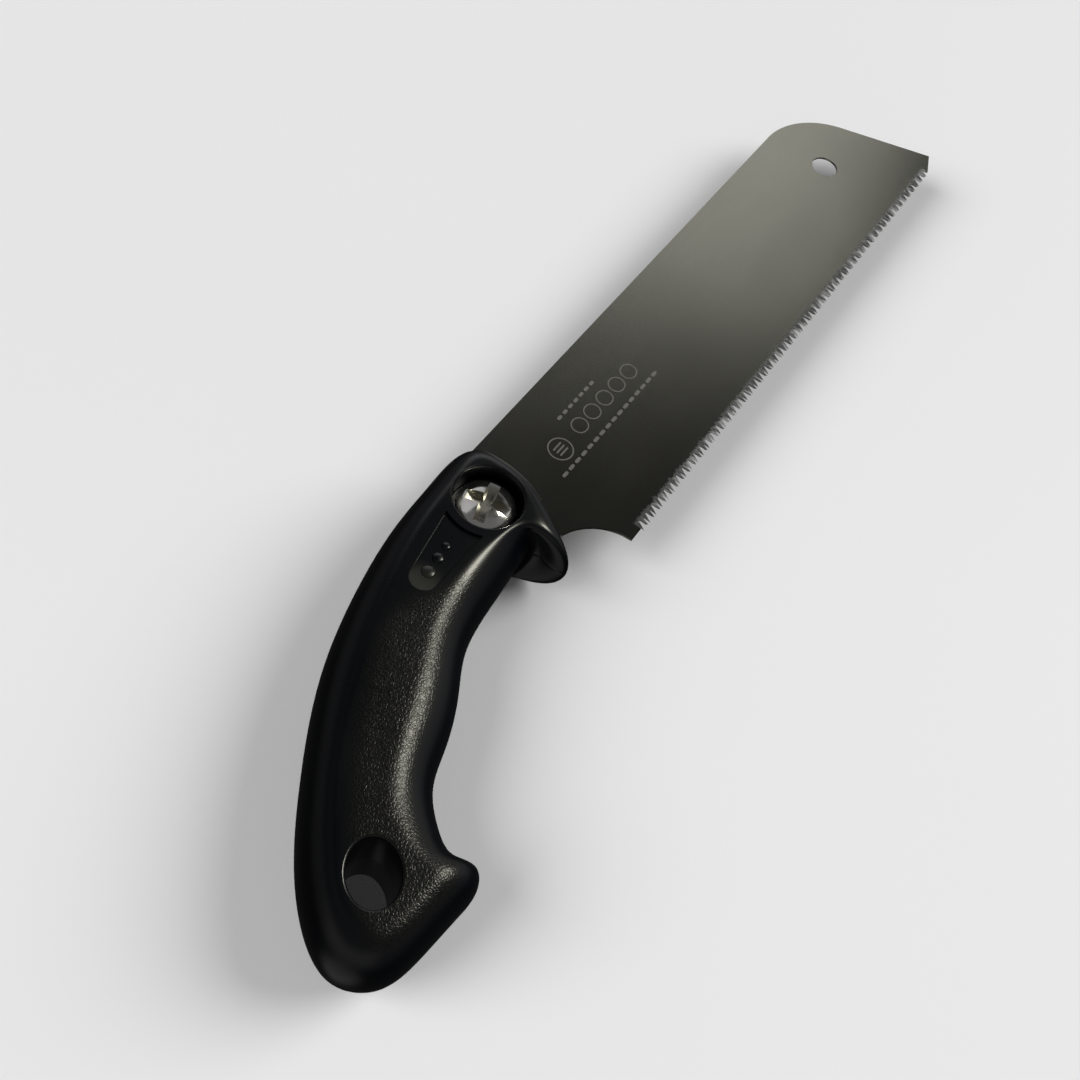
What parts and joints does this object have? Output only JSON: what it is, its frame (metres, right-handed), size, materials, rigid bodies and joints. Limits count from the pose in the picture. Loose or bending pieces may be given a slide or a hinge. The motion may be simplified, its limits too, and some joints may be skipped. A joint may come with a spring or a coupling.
{
  "type": "pull saw",
  "caption": "Pull saw with an exchangeable toothed steel blade clamped by a large cross-head screw in a curved black plastic handle with a finger guard.",
  "frame": {"origin": "middle of the saw's footprint as it lies on the rear side of its handle, at the base", "axes": "+X towards the blade's toe, +Y towards the blade's spine (the teeth face -Y), +Z out of the front side, where the clamp screw is"},
  "size_m": [0.31, 0.065, 0.024],
  "materials": {
    "handle_plastic": "black moulded plastic, smooth on the rounded edges and leather-grained on the grip",
    "blade_steel": "satin warm grey spring steel",
    "screw_chrome": "bright nickel plate",
    "zinc_steel": "dull zinc plate"
  },
  "bodies": {
    "handle": {"front_handle_shell": "handle_plastic", "rear_handle_shell": "handle_plastic", "front_clamp_plate": "zinc_steel", "rear_clamp_plate": "zinc_steel", "locating_pin": "zinc_steel", "clamp_nut": "zinc_steel", "shell_screws": "zinc_steel"},
    "blade": {"saw_blade": "blade_steel"},
    "clamp_washers": {"flat_washer": "zinc_steel", "spring_washer": "zinc_steel"},
    "clamp_screw": {"clamp_screw": "screw_chrome"}
  },
  "joints": [
    {"name": "blade_slide", "type": "slide", "parent": "handle", "child": "blade", "axis": [1, 0, 0], "range_m": [0, 0.045]},
    {"name": "clamp_travel", "type": "slide", "parent": "handle", "child": "clamp_washers", "axis": [0, 0, 1], "range_m": [0, 0.005]},
    {"name": "clamp_screw_turn", "type": "hinge", "parent": "clamp_washers", "child": "clamp_screw", "pos_m": [-0.05312, 0.01782, 0.012], "axis": [0, 0, 1], "range_deg": [0, 1800]}
  ],
  "couplings": [
    {"joint": "clamp_screw_turn", "follows": "clamp_travel", "rad_per_m": 6283.2}
  ]
}
